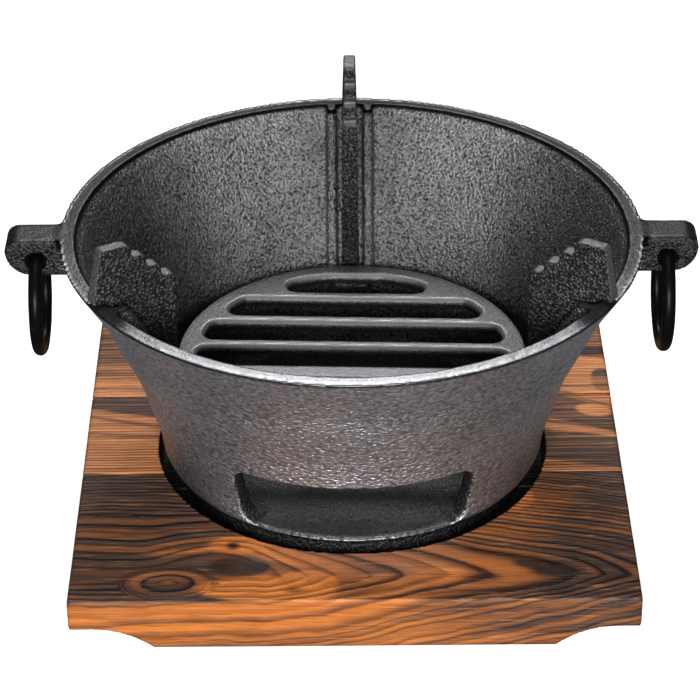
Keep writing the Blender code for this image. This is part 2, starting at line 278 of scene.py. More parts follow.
def curve_through(points, heights):
    """The radius at each height on a smooth curve through (radius, height) points."""
    r = np.array([p[0] for p in points])
    z = np.array([p[1] for p in points])
    slope = np.gradient(r, z)
    place = np.clip(np.searchsorted(z, heights) - 1, 0, len(z) - 2)
    span = z[place + 1] - z[place]
    t = np.clip((heights - z[place]) / span, 0, 1)
    h00 = 2 * t**3 - 3 * t**2 + 1
    h10 = t**3 - 2 * t**2 + t
    h01 = -2 * t**3 + 3 * t**2
    h11 = t**3 - t**2
    start = r[place] * h00 + r[place + 1] * h01
    return start + span * (slope[place] * h10 + slope[place + 1] * h11)


def take_over(thing, node, body, material):
    """The fine piece stands for its CAD node, rides on its body and takes its finish."""
    thing.data.materials.append(material)
    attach(thing, body)
    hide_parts(node)


# --------------------------------------------------------- material helpers


class Nodes:
    """A short way to write a material's nodes."""

    def __init__(self, name):
        self.material = bpy.data.materials.new(name)
        self.material.use_nodes = True
        self.tree = self.material.node_tree
        self.shader = self.tree.nodes["Principled BSDF"]

    def add(self, kind, **settings):
        node = self.tree.nodes.new(kind)
        for key, value in settings.items():
            setattr(node, key, value)
        return node

    def link(self, source, target):
        self.tree.links.new(source, target)

    def feed(self, target, value):
        """Links a socket, or sets a plain value."""
        if isinstance(value, bpy.types.NodeSocket):
            self.link(value, target)
        else:
            target.default_value = value

    def attribute(self, name):
        return self.add("ShaderNodeAttribute", attribute_name=name).outputs["Fac"]

    def place(self, scale=(1, 1, 1)):
        """The point on the object, stretched by a factor along each axis."""
        coordinates = self.add("ShaderNodeTexCoord").outputs["Object"]
        mapping = self.add("ShaderNodeMapping")
        mapping.inputs["Scale"].default_value = scale
        self.link(coordinates, mapping.inputs["Vector"])
        return mapping.outputs["Vector"]

    def noise(self, vector, scale, detail=3.0, roughness=0.5):
        node = self.add("ShaderNodeTexNoise")
        self.link(vector, node.inputs["Vector"])
        node.inputs["Scale"].default_value = scale
        node.inputs["Detail"].default_value = detail
        node.inputs["Roughness"].default_value = roughness
        return node.outputs["Fac"]

    def cells(self, vector, scale, smooth=0.6):
        node = self.add("ShaderNodeTexVoronoi", feature="SMOOTH_F1")
        self.link(vector, node.inputs["Vector"])
        node.inputs["Scale"].default_value = scale
        node.inputs["Smoothness"].default_value = smooth
        return node.outputs["Distance"]

    def math(self, operation, first, second=0.0, third=0.0, clamp=False):
        node = self.add("ShaderNodeMath", operation=operation, use_clamp=clamp)
        for socket, value in zip(node.inputs, (first, second, third)):
            self.feed(socket, value)
        return node.outputs[0]

    def ramp(self, value, stops):
        """A grey ramp; each stop is (position, grey)."""
        node = self.add("ShaderNodeValToRGB")
        self.link(value, node.inputs["Fac"])
        elements = node.color_ramp.elements
        while len(elements) < len(stops):
            elements.new(0.5)
        for element, (position, grey) in zip(elements, stops):
            element.position = position
            element.color = (grey, grey, grey, 1)
        return node.outputs["Color"]

    def mix(self, share, first, second, blend="MIX"):
        """A mix of two colours, each a socket or a plain colour; a grey socket counts as a colour."""
        node = self.add("ShaderNodeMix", data_type="RGBA", blend_type=blend)
        colour_inputs = [s for s in node.inputs if s.type == "RGBA"]
        factor = [s for s in node.inputs if s.type == "VALUE"][0]
        self.feed(factor, share)
        for socket, value in zip(colour_inputs, (first, second)):
            self.feed(socket, (*value, 1) if isinstance(value, tuple) else value)
        return [s for s in node.outputs if s.type == "RGBA"][0]

    def bump(self, height, strength, distance):
        node = self.add("ShaderNodeBump")
        self.feed(node.inputs["Strength"], strength)
        node.inputs["Distance"].default_value = distance
        self.link(height, node.inputs["Height"])
        return node.outputs["Normal"]

    def shade(self, colour, roughness, normal, metallic=0.0, **plain):
        self.link(colour, self.shader.inputs["Base Color"])
        self.link(roughness, self.shader.inputs["Roughness"])
        self.link(normal, self.shader.inputs["Normal"])
        self.shader.inputs["Metallic"].default_value = metallic
        for key, value in plain.items():
            self.shader.inputs[key].default_value = value
        return self.material


# ------------------------------------------------------------------- metals


def bowl_material():
    """Cast iron: leathery outside, coarse sand inside and on the ears, smoother on the rim and floor.

    The mesh carries which skin it has as outside, how smooth it is as plain, and painted shade and
    painted highlights as shade.
    """
    n = Nodes("cast_iron_bowl")
    outer = n.attribute("outside")
    plain = n.attribute("plain")
    shade = n.attribute("shade")
    leather = n.place(scale=(1.0, 1.0, 1.8))
    peel = n.cells(leather, 440, smooth=0.5)
    wave = n.noise(leather, 480, detail=3.0, roughness=0.62)
    skin = n.math("MULTIPLY_ADD", peel, -0.6, n.math("MULTIPLY", wave, 1.2))
    place = n.place()
    bead = n.cells(place, 900, smooth=0.4)
    grit = n.noise(place, 820, detail=3.0, roughness=0.65)
    sand = n.math("MULTIPLY_ADD", bead, -0.5, n.math("MULTIPLY", grit, 1.1))
    height = n.mix(outer, sand, skin)
    cloud = n.noise(place, 38, detail=4.0, roughness=0.55)
    dark = n.mix(outer, (0.070, 0.070, 0.075), (0.300, 0.318, 0.360))
    light = n.mix(outer, (0.64, 0.64, 0.66), (0.90, 0.94, 1.0))
    tone = n.math("MULTIPLY_ADD", height, 1.5, n.math("MULTIPLY", cloud, 0.45))
    tone = n.math("SUBTRACT", tone, 0.28, clamp=True)
    colour = n.mix(tone, dark, light)
    colour = n.mix(n.math("MULTIPLY", plain, 0.85), colour, (0.135, 0.134, 0.138))
    # The shade value multiplies painted shade and painted highlights into the colour.
    colour = n.mix(1.0, colour, shade, blend="MULTIPLY")
    roughness = n.math("MULTIPLY_ADD", grit, 0.30, n.math("MULTIPLY_ADD", plain, -0.08, 0.28))
    on_plain = n.math("MULTIPLY_ADD", plain, -0.85, 1.0)
    on_leather = n.math("MULTIPLY_ADD", outer, -0.16, 1.0)
    normal = n.bump(height, n.math("MULTIPLY", on_plain, on_leather), 0.00095)
    return n.shade(colour, roughness, normal, metallic=0.95)


def sand_iron(name, dark, light, worn_and_lit_colour, grain, depth, roughness):
    """Sand-cast iron with an even grain, brighter where its grains stand up, smoother and lighter
    where worn and lit by a painted highlight, and multiplied by painted shade.
    """
    n = Nodes(name)
    place = n.place()
    worn_and_lit = n.attribute("worn_and_lit")
    shade = n.attribute("shade")
    bead = n.cells(place, grain, smooth=0.35)
    grit = n.noise(place, grain * 0.9, detail=3.0, roughness=0.65)
    cloud = n.noise(place, 45, detail=3.0, roughness=0.5)
    height = n.math("MULTIPLY_ADD", bead, -0.8, n.math("MULTIPLY", grit, 1.2))
    tone = n.math("MULTIPLY_ADD", height, 1.8, n.math("MULTIPLY", cloud, 0.4))
    tone = n.math("SUBTRACT", tone, 0.50, clamp=True)
    colour = n.mix(tone, dark, light)
    rubbed_and_lit = n.math("MULTIPLY_ADD", grit, 0.5, n.math("MULTIPLY", worn_and_lit, 0.9))
    rubbed_and_lit = n.math("MULTIPLY", n.math("SUBTRACT", rubbed_and_lit, 0.25, clamp=True), worn_and_lit, clamp=True)
    colour = n.mix(rubbed_and_lit, colour, worn_and_lit_colour)
    # The shade value multiplies in painted shade and painted light
    colour = n.mix(1.0, colour, shade, blend="MULTIPLY")
    gloss = n.math("MULTIPLY_ADD", grit, 0.25, roughness - 0.12)
    normal = n.bump(height, n.math("MULTIPLY_ADD", worn_and_lit, -0.75, 1.0), depth)
    return n.shade(colour, gloss, normal, metallic=0.75)


def ring_material():
    """Glossy black steel wire, a little scuffed."""
    n = Nodes("black_ring_steel")
    place = n.place()
    scuff = n.noise(place, 260, detail=5.0, roughness=0.6)
    cloud = n.noise(place, 60, detail=2.0)
    scuffed = n.ramp(scuff, [(0.62, 0.0), (0.78, 1.0)])
    colour = n.mix(scuffed, (0.003, 0.003, 0.0035), (0.020, 0.020, 0.021))
    roughness = n.math("MULTIPLY_ADD", cloud, 0.16, 0.26)
    normal = n.bump(scuff, 0.35, 0.00008)
    return n.shade(colour, roughness, normal, **{"Specular IOR Level": 0.11})


# --------------------------------------------------------------------- wood


# Darkness across one year's ring, as (share of the ring, darkness)
LATE_WOOD = (
    (0.00, 0.25),
    (0.10, 0.00),
    (0.46, 0.04),
    (0.70, 0.60),
    (0.82, 1.00),
    (0.95, 1.00),
    (1.00, 0.25),
)


def wood_material():
    """Brushed, scorched pine.

    The mesh carries the ring count as grain, how burnt it is, how pale the unburnt wood is as pale,
    extra dark marks (char marks on the tops, and above 1 the black painted shade of the recess round
    the bowl, which is also fully burnt there), how far the rings fade as calm, and the sawn sides as
    sawn.
    """
    n = Nodes("scorched_pine")
    grain = n.attribute("grain")
    scorch_and_shade = n.attribute("scorch_and_shade")
    pale = n.attribute("pale")
    char_and_shade = n.attribute("char_and_shade")
    calm = n.attribute("calm")
    face = n.attribute("sawn")
    stretched = n.place(scale=(0.045, 1.0, 1.0))
    long_fibre = n.noise(stretched, 1300, detail=3.0, roughness=0.62)
    broad_fibre = n.noise(stretched, 300, detail=3.0, roughness=0.55)
    blotch = n.noise(n.place(scale=(0.30, 1.0, 1.0)), 48, detail=4.0, roughness=0.55)
    shaken = n.math("MULTIPLY_ADD", n.math("SUBTRACT", long_fibre, 0.5), 0.28, grain)
    ring = n.math("FRACT", shaken)
    late = n.ramp(ring, LATE_WOOD)
    year = n.add("ShaderNodeTexNoise", noise_dimensions="1D")
    n.link(grain, year.inputs["W"])
    year.inputs["Scale"].default_value = 0.83
    year.inputs["Detail"].default_value = 1.0
    kind = n.ramp(year.outputs["Fac"], [(0.34, 0.0), (0.66, 1.0)])
    line = n.math("MULTIPLY", late, n.math("MULTIPLY_ADD", kind, 0.65, 0.45), clamp=True)
    orange = n.mix(broad_fibre, (0.88, 0.290, 0.060), (0.42, 0.108, 0.018))
    peach = n.mix(broad_fibre, (0.98, 0.440, 0.190), (0.55, 0.200, 0.075))
    orange = n.mix(pale, orange, peach)
    smoked = n.mix(broad_fibre, (0.115, 0.066, 0.049), (0.036, 0.020, 0.016))
    patchy = n.math("MULTIPLY_ADD", n.math("SUBTRACT", blotch, 0.5), 1.0, scorch_and_shade)
    patchy = n.math("MULTIPLY_ADD", n.math("SUBTRACT", kind, 0.5), 0.35, patchy, clamp=True)
    early = n.mix(patchy, orange, smoked)
    line_colour = n.mix(patchy, (0.100, 0.028, 0.008), (0.010, 0.006, 0.006))
    strength = n.math("MULTIPLY_ADD", face, -0.40, 0.97)
    strength = n.math("SUBTRACT", strength, calm, clamp=True)
    colour = n.mix(n.math("MULTIPLY", line, strength), early, line_colour)
    fleck = n.ramp(long_fibre, [(0.34, 1.0), (0.48, 0.0)])
    colour = n.mix(n.math("MULTIPLY", fleck, 0.45), colour, line_colour)
    shine = n.ramp(long_fibre, [(0.56, 0.0), (0.72, 1.0)])
    colour = n.mix(n.math("MULTIPLY", shine, 0.25), colour, (0.90, 0.46, 0.24))
    # Char marks on the tops darken to soot, and above 1 the recess turns black as painted shade
    soot_and_shade = n.mix(broad_fibre, (0.050, 0.026, 0.018), (0.018, 0.011, 0.009))
    colour = n.mix(n.math("MINIMUM", char_and_shade, 1.0), colour, soot_and_shade)
    colour = n.mix(n.math("SUBTRACT", char_and_shade, 1.0, clamp=True), colour, (0.0035, 0.0030, 0.0030))
    roughness = n.math("MULTIPLY_ADD", broad_fibre, 0.22, 0.40)
    height = n.math("MULTIPLY_ADD", long_fibre, 0.5, line)
    normal = n.bump(height, n.math("MULTIPLY_ADD", face, -0.5, 0.9), 0.00050)
    return n.shade(colour, roughness, normal, **{"Specular IOR Level": 0.28})


# Oval marks on the planks' tops: (x, y, reach along x, reach along y, slope, amount). A burn with a
# negative amount is a paler place. The front plank's marks are its knots, the eye and the charred tips
# of its flames. The other planks' marks are bands and lines that run along them.
FAR = 1.0
MARK_EDGE = 0.0013
FRONT_BURNS = (
    (-0.0470, -0.0768, 0.0120, 0.0056, 0.00, -1.00),
    (-0.0680, -0.0800, 0.0130, 0.0016, 0.12, -0.80),
    (-0.0320, -0.0835, 0.0150, 0.0030, -0.42, -0.90),
    (-0.0350, -0.1060, 0.0270, 0.0085, 0.00, -1.10),
    (-0.0180, -0.1010, 0.0110, 0.0080, -0.10, -1.10),
    (0.0130, -0.0995, 0.0120, 0.0040, 0.00, -0.40),
    (0.0380, -0.0985, 0.0140, 0.0050, 0.00, -0.40),
    (0.0650, -0.0430, 0.0100, 0.0090, 0.00, -0.50),
    (-0.0744, -0.1024, 0.0170, 0.0090, 0.00, -0.30),
)
FRONT_CHARS = (
    (-0.0491, -0.0768, 0.0026, 0.0024, 0.00, 1.00),
    (-0.0460, -0.0909, 0.0122, 0.0070, 0.00, 0.85),
    (-0.0360, -0.0915, 0.0070, 0.0030, 0.00, 0.30),
    (-0.0249, -0.1065, 0.0034, 0.0014, 0.00, 0.70),
    (0.0512, -0.0992, 0.0065, 0.0018, 0.00, 0.90),
    (0.0700, -0.0905, 0.0060, 0.0030, -0.25, 0.85),
    (0.0800, -0.0955, 0.0095, 0.0032, 0.00, 0.95),
    (0.0480, -0.1080, 0.0260, 0.0008, 0.12, 0.85),
    (-0.0744, -0.1024, 0.0080, 0.0020, 0.00, 0.45),
    (0.0020, -0.1085, 0.0080, 0.0014, 0.32, 0.60),
)
FRONT_CALMS = (
    (-0.0470, -0.0768, 0.0110, 0.0050, 0.00, 0.85),
    (-0.0350, -0.1060, 0.0260, 0.0080, 0.00, 0.95),
    (-0.0180, -0.1010, 0.0100, 0.0075, 0.00, 0.90),
    (-0.0450, -0.0909, 0.0130, 0.0070, 0.00, 0.60),
)
MIDDLE_BURNS = (
    (-0.1000, 0.0340, FAR, 0.0116, -0.21, 1.00),
    (0.1000, 0.0215, 0.0800, 0.0115, -0.40, 1.00),
    (0.1055, 0.0226, 0.0078, 0.0050, -0.20, -1.10),
    (0.1120, -0.0050, 0.0160, 0.0032, 0.00, 0.45),
    (0.1000, -0.0205, 0.0500, 0.0030, 0.00, 0.25),
    (0.1050, 0.0340, 0.0200, 0.0060, -0.57, -0.60),
)
MIDDLE_CHARS = (
    (-0.1000, 0.0158, 0.0300, 0.0009, -0.26, 0.90),
    (-0.1000, 0.0232, 0.0300, 0.0004, -0.21, 0.50),
    (-0.1000, 0.0054, 0.0500, 0.0009, -0.08, 0.95),
    (-0.1000, 0.0030, 0.0500, 0.0003, -0.08, 0.60),
    (-0.1000, -0.0130, 0.0500, 0.0003, 0.00, 0.60),
    (-0.1000, -0.0165, 0.0500, 0.0003, 0.02, 0.60),
    (0.1000, 0.0098, 0.0600, 0.0008, -0.25, 1.00),
    (0.1015, 0.0320, 0.0300, 0.0006, -0.57, 0.90),
    (0.1000, -0.0008, 0.0600, 0.0009, 0.00, 0.60),
    (0.1000, -0.0150, 0.0600, 0.0007, -0.03, 0.75),
    (0.1000, -0.0180, 0.0600, 0.0003, 0.00, 0.60),
)
MIDDLE_CALMS = (
    (-0.1000, 0.0340, FAR, 0.0116, -0.21, 0.85),
    (-0.1000, 0.0100, 0.0600, 0.0110, -0.10, 0.60),
    (0.1000, 0.0215, 0.0800, 0.0115, -0.40, 0.90),
    (0.1000, 0.0050, 0.0500, 0.0055, -0.10, 0.85),
    (-0.1000, -0.0080, 0.0600, 0.0110, 0.00, 0.25),
)
REAR_BURNS = (
    (-0.1000, 0.0430, FAR, 0.0075, 0.00, -0.45),
    (-0.1000, 0.0950, 0.0800, 0.0300, 0.00, 0.30),
    (0.0950, 0.0500, 0.0260, 0.0180, 0.00, -0.40),
    (0.1110, 0.0470, 0.0050, 0.0100, 0.00, 1.00),
    (0.0900, 0.0715, 0.0600, 0.0035, 0.00, 0.80),
)
REAR_CHARS = (
    (-0.1000, 0.0423, FAR, 0.0006, 0.00, 0.90),
    (-0.1000, 0.0405, FAR, 0.0002, 0.01, 0.50),
    (-0.1000, 0.0505, FAR, 0.0004, 0.00, 0.60),
    (0.0950, 0.0370, 0.0260, 0.0006, -0.30, 0.80),
    (0.0900, 0.0690, 0.0600, 0.0006, 0.00, 0.60),
)
REAR_CALMS = (
    (-0.1000, 0.0430, FAR, 0.0070, 0.00, 0.75),
    (0.0950, 0.0500, 0.0270, 0.0180, 0.00, 0.85),
)
PALENESS = {"front": 0.0, "middle": 0.70, "rear": 0.75}
EYE = (-0.0744, -0.1024, 0.0172, 0.0094)
EYE_RINGS = 2.6
FLAME_Y = -0.0985
FLAME_TIPS = (-0.0076, 0.0065, 0.0189, 0.0385, 0.0570, 0.0890)
FLAME_OPENING = (14.0, 26.0)  # how fast a ring runs back from its tip, behind and in front of FLAME_Y
RING_STEP = 0.0120
RING_STEPS = 40  # rings added before the first tip and after the last
STRAIGHT_FROM = -0.035  # the flames stop closing here and run on to -X as nearly straight lines
STRAIGHT_SHARE = 0.10
HUMP = (-0.052, -0.078, 0.024, 0.015, 2.2)  # centre, reaches and ring count of the bend round the knot
EYE_EDGE = (0.95, 1.20)
EYE_COUNT = 40.35
MIDDLE_SPACING = 0.0021
REAR_SPACING = 0.0023


def marks_at(x, y, marks):
    """The sum of the marks at each point: even inside an oval, with a narrow soft edge."""
    total = np.zeros(len(x))
    for mark_x, mark_y, reach_x, reach_y, slope, amount in marks:
        across = (y - mark_y - slope * (x - mark_x)) / reach_y
        away = np.sqrt(((x - mark_x) / reach_x) ** 2 + across**2)
        total += amount * smoothstep(-1, 1, (1 - away) * reach_y / MARK_EDGE)
    return total


def front_grain(x, y, spots):
    """Ring count in the front plank: flames that point to +X and close round the knots on the left."""
    warp = 0.0028 * noise_at(spots, (22, 20, 20), 7.7) + 0.0009 * noise_at(spots, (80, 75, 75), 1.7)
    across = y - FLAME_Y + warp
    opening = np.where(across > 0, *FLAME_OPENING)
    along = np.where(x > STRAIGHT_FROM, x, STRAIGHT_FROM + STRAIGHT_SHARE * (x - STRAIGHT_FROM))
    flame = along + 0.005 * noise_at(spots, (30, 30, 30), 3.1) + opening * np.abs(across) ** 1.5
    tips = [FLAME_TIPS[0] - RING_STEP * (RING_STEPS - k) for k in range(RING_STEPS)]
    tips += FLAME_TIPS
    tips += [FLAME_TIPS[-1] + RING_STEP * (k + 1) for k in range(RING_STEPS)]
    rings = np.interp(flame, tips, np.arange(len(tips)))
    hump_x, hump_y, reach_x, reach_y, lift = HUMP
    rings = rings - lift * np.exp(-(((x - hump_x) / reach_x) ** 2) - ((y - hump_y) / reach_y) ** 2)
    eye_x, eye_y, reach_x, reach_y = EYE
    away = np.sqrt(((x - eye_x) / reach_x) ** 2 + ((y - eye_y + 0.5 * warp) / reach_y) ** 2)
    inside = 1 - smoothstep(*EYE_EDGE, away)
    return rings * (1 - inside) + (EYE_COUNT + away * EYE_RINGS) * inside


def straight_grain(spots, spacing, seed, tilt):
    """Ring count in a plank sawn along the grain: nearly straight lines along X."""
    x, y, z = spots.T
    bend = 0.0035 * noise_at(spots, (9, 14, 14), seed)
    bend = bend + 0.0008 * noise_at(spots, (45, 60, 60), seed + 5)
    return (y + bend + tilt * x + 0.5 * (z - BOARD_TOP)) / spacing + RING_STEPS


def grain_fields(place, spots, ways):
    """Ring count, burn, char and calm at each point of a plank; the sawn sides have no marks, and the
    recess round the bowl is blackened as painted shade.
    """
    x, y, z = spots.T
    cloud = noise_at(spots, (14, 34, 34), 2.3)
    wobble = y + 0.0016 * noise_at(spots, (26, 30, 30), 5.9)
    if place == "front":
        rings = front_grain(x, y - 0.7 * (BOARD_TOP - z), spots)
        left = smoothstep(-0.030, -0.065, x)
        right = smoothstep(0.050, 0.105, x)
        burnt_and_shade = 0.54 + 0.48 * left + 0.56 * right + 0.22 * cloud
        burns, chars, calms = FRONT_BURNS, FRONT_CHARS, FRONT_CALMS
    elif place == "middle":
        rings = straight_grain(spots, MIDDLE_SPACING, 11.0, 0.006)
        burnt_and_shade = 0.12 + 0.16 * cloud + 0.04 * smoothstep(0.055, 0.100, x)
        burns, chars, calms = MIDDLE_BURNS, MIDDLE_CHARS, MIDDLE_CALMS
    else:
        rings = straight_grain(spots, REAR_SPACING, 19.0, -0.012)
        burnt_and_shade = 0.42 + 0.22 * cloud
        burns, chars, calms = REAR_BURNS, REAR_CHARS, REAR_CALMS
    top = smoothstep(0.3, 0.6, ways[:, 2])
    streaks = noise_at(spots, (12, 200, 200), 8.8)
    # The sawn sides grow darker towards +X, with noise and streaks
    edge = 0.16 + 0.26 * smoothstep(-0.08, 0.00, x) + 0.34 * smoothstep(0.01, 0.10, x)
    edge = edge + 0.12 * cloud + 0.26 * streaks
    burnt_and_shade = np.clip(burnt_and_shade + marks_at(x, wobble, burns), 0, 1) * top + edge * (1 - top)
    charred_and_shade = np.clip(marks_at(x, y + 0.5 * (wobble - y), chars), 0, 1) * top
    faded = np.clip(marks_at(x, wobble, calms), 0, 1) * top
    # Painted shade: the wood in the recess round the bowl is made fully burnt and black
    recess = (np.hypot(x, y) < RECESS_EDGE) & (z < BOARD_TOP - RECESS_DROP)
    return rings, np.where(recess, 1, burnt_and_shade), np.where(recess, 2, charred_and_shade), faded


def make_plank(place, wood):
    """A brushed plank: the softer wood lies a little below the dark ridges of the rings."""
    node = place + "_plank"
    plank = copy_node(node, node + "_brushed")
    recast(plank, FRONT_VOXEL if place == "front" else PLANK_VOXEL, 2)
    spots = points_of(plank)
    ways = normals_of(plank)
    rings, burnt_and_shade, charred_and_shade, faded = grain_fields(place, spots, ways)
    up = smoothstep(0.80, 0.98, ways[:, 2]) * (spots[:, 2] > BOARD_TOP - TOP_SLACK)
    spots[:, 2] = np.where(up > 0.5, BOARD_TOP, spots[:, 2])
    ring = rings % 1.0
    ridge = smoothstep(0.45, 0.85, ring) * (1 - smoothstep(0.93, 1.0, ring))
    wave = noise_at(spots, (20, 60, 60), 31.0)
    spots = spots + ways * ((ridge - 1.0) * RIDGE_DEPTH * up + wave * BOARD_WAVE - BOARD_WAVE)[:, None]
    put_points(plank, spots)
    put_value(plank, "grain", rings)
    put_value(plank, "scorch_and_shade", burnt_and_shade)
    put_value(plank, "char_and_shade", charred_and_shade)
    put_value(plank, "calm", faded)
    put_value(plank, "pale", PALENESS[place] * smoothstep(0.3, 0.6, ways[:, 2]))
    put_value(plank, "sawn", smoothstep(0.6, 0.3, ways[:, 2]))
    take_over(plank, node, "base", wood)


# --------------------------------------------------------------- cast pieces


def on_wall(spots, wall, radius, turn):
    """How closely each point lies on the faceted wall, from 0 to 1, and the smooth wall's radius."""
    heights = spots[:, 2] - BOARD_TOP
    straight = np.interp(heights, [p[1] for p in wall], [p[0] for p in wall])
    step = 2 * pi / WALL_FACETS
    offset = turn - np.round(turn / step) * step
    faceted = straight * cos(step / 2) / np.cos(offset)
    near = 1 - smoothstep(*WALL_SNAP, np.abs(radius - faceted))
    between = (heights > wall[0][1]) & (heights < wall[-1][1] - WALL_END)
    return near * between, curve_through(wall, heights)


def shape_bowl():
    """The bowl with a round wall, a sloping rim and an uneven skin."""
    bowl = copy_node("fire_bowl", "fire_bowl_cast")
    recast(bowl, BOWL_VOXEL, 3)
    spots = points_of(bowl)
    radius = np.hypot(spots[:, 0], spots[:, 1])
    turn = np.arctan2(spots[:, 1], spots[:, 0])
    moved = radius.copy()
    for wall in (WALL_OUTSIDE, WALL_INSIDE):
        near, smooth = on_wall(spots, wall, radius, turn)
        moved += near * (smooth - radius)
    spots[:, :2] *= (moved / np.maximum(radius, JOIN))[:, None]
    ways = normals_of(bowl)
    rim = (spots[:, 2] > RIM_TOP - RIM_SKIN) * smoothstep(0.70, 0.95, ways[:, 2])
    slope = RIM_FALL * np.maximum(moved - RIM_INNER_EDGE, 0)
    spots[:, 2] += rim * (RIM_TOP - slope - spots[:, 2])
    waves = noise_at(spots, 85, 4.0) * BOWL_WAVE + noise_at(spots, 300, 9.0) * BOWL_RIPPLE
    put_points(bowl, spots + ways * (waves - 0.00010)[:, None])
    return bowl, moved, turn, ways


def line_at(value, line):
    """A soft line round a value: 1 on it, fading to 0 over the line's width."""
    place, width = line
    return np.exp(-(((value - place) / width) ** 2))


def make_bowl():
    """The bowl, with its skins and its painted shade and painted highlights on its points."""
    bowl, radius, turn, ways = shape_bowl()
    x, y, z = points_of(bowl).T
    up = ways[:, 2]
    height = z - BOARD_TOP
    back = y / np.maximum(radius, JOIN)
    sideways = np.sqrt(np.clip(1 - back**2, 0, 1))
    level = smoothstep(0.55, 0.80, up)

    outline = np.interp(height, [p[1] for p in WALL_OUTSIDE], [p[0] for p in WALL_OUTSIDE])
    inside = 1 - smoothstep(-0.0010, 0.0010, radius - outline + HALF_WALL)
    outside = 1 - inside
    floor = (radius < FLOOR_REACH) & (height < OPENING_SILL) & (height > FLOOR_UNDER)
    foot = (height < FOOT_TOP) & (radius > FOOT_REACH)
    ear = smoothstep(*EAR_ROOT, radius)
    brim = smoothstep(RIM_ZONE - 0.0004, RIM_ZONE + 0.0004, height)
    put_value(bowl, "outside", outside * (height > 0) * (1 - ear))
    smooth = np.maximum(np.maximum(level * (height > BRIM_TOP), brim), floor * FLOOR_PLAIN)
    put_value(bowl, "plain", smooth)

    # Painted shade on the inner wall below the grate, apart from the floor
    below_grate_shade = inside * (1 - smoothstep(*BELOW_GRATE_HEIGHTS, height)) * ~floor
    edge = brim * (1 - smoothstep(0.94, 0.985, up)) * (1 - ear)
    # Painted shade on the floor in the opening, on the ears and on the rim's edges, and painted light
    # on the ears' tops
    shade = 1 - FLOOR_DARK * floor - EAR_DARK * ear + EAR_TOP_LIGHT * ear * level
    shade = shade - BELOW_GRATE_DARK * below_grate_shade - EDGE_DARK * edge
    across = np.abs(ways[:, 1] * np.cos(turn) - ways[:, 0] * np.sin(turn))
    jamb = (across > 0.45) & (y < -0.04) & (height < JAMB_TOP) & (radius > JAMB_REACH)
    shade = np.where(jamb, JAMB_SHADE, np.where(foot, FOOT_SHADE, shade))
    # A painted highlight along the sill of the opening
    sill = line_at(height, SILL_LINE) * (radius > SILL_REACH) * (up > 0.3)
    shade = shade + SILL_LIGHT * sill * (np.abs(turn + pi / 2) < OPENING_HALF_TURN)

    # Painted shade on the inner sides, round the rear support, on the low outer sides, on the rear
    # brim and its edge, on the wall round the ears, on the rear lip and in the groove at each ear
    sides = smoothstep(*FLANK, sideways) * inside * (1 - brim)
    halo = np.exp(-((x / HALO_WIDTH) ** 2)) * smoothstep(*HALO_HEIGHTS, height) * inside * (back > 0)
    skirt = outside * smoothstep(*SKIRT_HEIGHTS, height) * smoothstep(*LOW_FLANK, sideways)
    rear_brim = brim * (1 - ear) * smoothstep(-0.80, 0.60, back)
    rear_edge = edge * smoothstep(-0.80, -0.10, back)
    root = outside * smoothstep(*ROOT_REACH, np.abs(y)) * (1 - ear) * (up < 0.8)
    lip = outside * smoothstep(*LIP_REACH, radius) * (height > LIP_FOOT) * (1 - level) * (1 - ear)
    rear_lip = lip * smoothstep(-0.50, 0.0, back)
    groove = line_at(radius, EAR_GROOVE) * (np.abs(y) < EAR_HALF)
    for place, amount in (
        (sides, SIDES_DARK),
        (halo, HALO_DARK),
        (skirt, SKIRT_DARK),
        (rear_brim, BRIM_DARK),
        (rear_edge, REAR_EDGE_DARK),
        (root, ROOT_DARK),
        (rear_lip, LIP_DARK),
        (groove, GROOVE_DARK),
    ):
        shade = shade * (1 - amount * place)
    put_value(bowl, "shade", np.clip(shade, LEAST_SHADE, 1))
    take_over(bowl, "fire_bowl", "bowl", bowl_material())


def make_casting(node, body, voxel, rounds, grain, material):
    """A fine copy of a cast piece: soft edges, uneven faces, wear and a painted highlight on its upper
    faces and edges, painted shade in the grate's slots and painted light on the supports' outward
    noses.
    """
    cast = copy_node(node, node + "_cast")
    recast(cast, voxel, rounds)
    spots = points_of(cast)
    ways = normals_of(cast)
    x, y, z = spots.T
    # Wear and a painted highlight: upward faces are lighter and smoother, and on the grate only its
    # edges, bars and front band
    worn_and_lit = smoothstep(0.30, 0.75, ways[:, 2])
    if node == "charcoal_grate":
        edge = 1 - smoothstep(0.97, 0.995, ways[:, 2])
        bars = 0.42 * (np.hypot(x, y) < GRATE_BARS) * (y < GRATE_REAR_BAR)
        worn_and_lit = worn_and_lit * np.where(y < GRATE_FRONT_BAR, 0.52, np.maximum(edge, bars))
        # Painted shade on the slots' sides and below them
        shade = np.where(z < GRATE_TOP - GRATE_SKIN, 0.30, 1.0)
    else:
        outward = (ways[:, 0] * x + ways[:, 1] * y) / np.maximum(np.hypot(x, y), JOIN)
        nose = smoothstep(0.5, 0.9, outward)
        worn_and_lit = np.maximum(worn_and_lit, 0.8 * nose * (z > RIM_TOP)) * (z > RIM_TOP - SUPPORT_HEAD)
        # Painted light on the outward nose of a support's head
        shade = 1 + 1.2 * nose * (z > RIM_TOP - SUPPORT_NOSE)
    uneven = noise_at(spots, 150, 2.0) * CAST_WAVE + noise_at(spots, 620, 5.0) * grain
    put_points(cast, spots + ways * (uneven - 0.00005)[:, None])
    put_value(cast, "worn_and_lit", worn_and_lit)
    put_value(cast, "shade", shade)
    take_over(cast, node, body, material)


